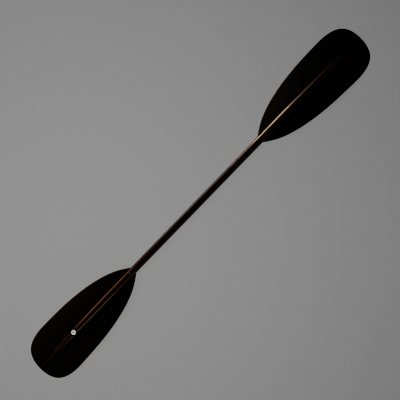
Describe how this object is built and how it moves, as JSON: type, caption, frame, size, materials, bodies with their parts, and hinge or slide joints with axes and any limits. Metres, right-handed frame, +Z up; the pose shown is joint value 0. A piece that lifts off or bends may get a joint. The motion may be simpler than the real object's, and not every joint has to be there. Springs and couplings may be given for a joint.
{
  "type": "double-bladed paddle",
  "caption": "Take-apart double-bladed kayak paddle: round varnished shaft, spooned blades with a tapering rib, a sprung button that locks the detachable blade, and a hanging eyelet.",
  "frame": {"origin": "centre of the bounding box at the floor, the paddle lying ribs up on its blade tips", "axes": "+X along the shaft towards the fixed blade, -X towards the detachable blade with the eyelet, +Z up, away from the power faces"},
  "size_m": [1.8, 0.2096, 0.0792],
  "materials": {
    "shaft_varnish": "dark brown wood under gloss varnish",
    "blade_black": "black moulded laminate, satin gloss",
    "rim_black": "black resin edge band, satin",
    "core_foam": "closed-cell foam",
    "stopper_foam": "dark closed-cell foam",
    "ferrule_metal": "clear anodised",
    "rivet_metal": "satin stainless",
    "clip_plastic": "grey moulded acetal",
    "liner_plastic": "black sleeve",
    "seal_rubber": "matte black rubber",
    "eyelet_white": "white moulded nylon"
  },
  "bodies": {
    "shaft": {"shaft_tube": "shaft_varnish", "shaft_stopper_upper": "stopper_foam", "shaft_stopper_lower": "stopper_foam", "upper_ferrule": "ferrule_metal", "lower_ferrule": "ferrule_metal", "ferrule_rivets": "rivet_metal", "ferrule_seal": "seal_rubber", "ferrule_plug": "seal_rubber", "upper_spine": "shaft_varnish", "upper_back_skin": "blade_black", "upper_face_skin": "blade_black", "upper_blade_core": "core_foam", "upper_blade_rim": "rim_black"},
    "button": {"snap_clip": "clip_plastic"},
    "lower_blade": {"lower_spine": "shaft_varnish", "lower_back_skin": "blade_black", "lower_face_skin": "blade_black", "lower_blade_core": "core_foam", "lower_blade_rim": "rim_black", "socket_liner": "liner_plastic", "eyelet_front": "eyelet_white", "eyelet_back": "eyelet_white", "eyelet_front_washer": "seal_rubber", "eyelet_back_washer": "seal_rubber"}
  },
  "joints": [
    {"name": "button_press", "type": "slide", "parent": "shaft", "child": "button", "axis": [0, 0, -1], "range_m": [0, 0.0042], "stiffness_N_per_m": 1500, "deforming": ["snap_clip"]},
    {"name": "lower_blade_pull", "type": "slide", "parent": "shaft", "child": "lower_blade", "axis": [-1, 0, 0], "range_m": [0, 0.12], "deforming": ["snap_clip"]}
  ]
}
